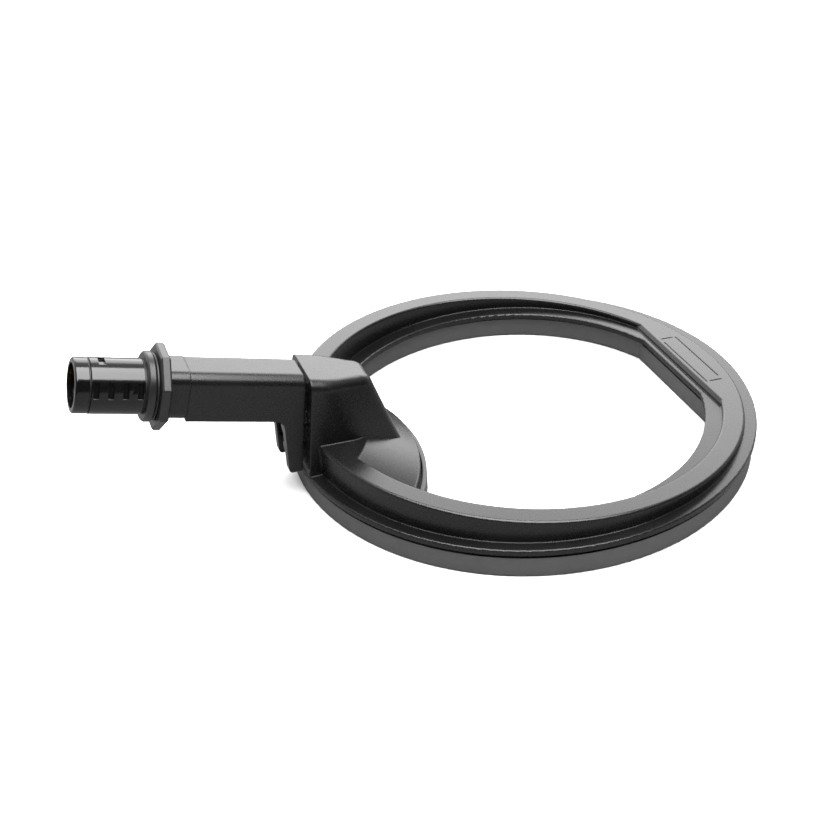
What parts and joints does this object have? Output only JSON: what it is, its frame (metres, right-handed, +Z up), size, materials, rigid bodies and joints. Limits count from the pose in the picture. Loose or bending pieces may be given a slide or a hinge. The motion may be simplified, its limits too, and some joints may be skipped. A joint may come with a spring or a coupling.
{
  "type": "metal detector search coil",
  "caption": "Open round search coil of a metal detector with a hub hood, a rising stem and a sealed plug-in connector, on a removable skid plate.",
  "frame": {"origin": "middle of the object's bounding box on the surface it rests on", "axes": "+Z up, -X along the stem towards the plug, +X towards the coil's straight side"},
  "size_m": [0.2989, 0.21, 0.0836],
  "materials": {
    "shell_black": "satin moulded",
    "base_black": "matt moulded",
    "skid_black": "fine spark-eroded texture",
    "plug_black": "gloss",
    "seal_rubber": "smooth rubber",
    "insert_black": "moulded",
    "contact_gold": "gold plated",
    "pour_resin": "cast resin",
    "former_plastic": "moulded",
    "winding_copper": "enamelled wire",
    "shield_foil": "foil",
    "lead_jacket": "matt jacket",
    "screw_steel": "machined"
  },
  "bodies": {
    "head": {"coil_top_shell": "shell_black", "coil_base_plate": "base_black", "stem_shell": "shell_black", "stem_collar": "shell_black", "plug_body": "plug_black", "nose_ring": "plug_black", "seal_flange": "plug_black", "index_flange": "plug_black", "nose_seal": "seal_rubber", "face_seal": "seal_rubber", "barrel_seal": "seal_rubber", "lead_grommet": "seal_rubber", "contact_insert": "insert_black", "contact_pins": "contact_gold", "contact_filler": "pour_resin", "sealing_pour": "pour_resin", "winding_former": "former_plastic", "search_winding": "winding_copper", "winding_shield": "shield_foil", "winding_lead": "lead_jacket", "leg_screws": "screw_steel"},
    "skid": {"skid_plate": "skid_black"}
  },
  "joints": [
    {"name": "skid_pull", "type": "slide", "parent": "head", "child": "skid", "axis": [0, 0, -1], "range_m": [0, 0.03]}
  ]
}
